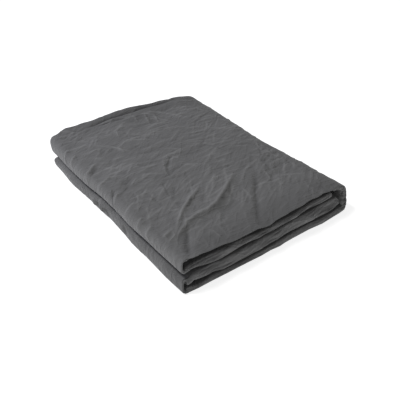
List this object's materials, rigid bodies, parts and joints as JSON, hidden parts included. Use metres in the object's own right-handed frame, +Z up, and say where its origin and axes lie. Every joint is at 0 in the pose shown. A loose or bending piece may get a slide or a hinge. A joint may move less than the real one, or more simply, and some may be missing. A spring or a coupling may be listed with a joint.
{
  "type": "folded duvet cover",
  "caption": "Crinkled linen duvet cover folded flat for the shelf, a soft pile with a rounded spine on one side and stacked folds on the other.",
  "frame": {"origin": "middle of the underside, on the surface the pile rests on", "axes": "+X across the folds from the bights to the spine, +Y along the folds from the front end to the back, +Z up"},
  "size_m": [0.2658, 0.3594, 0.0493],
  "materials": {
    "linen": "matte washed linen with a fine slub weave and soft crinkles"
  },
  "bodies": {
    "root": {"folded_cover": "linen"}
  },
  "joints": []
}
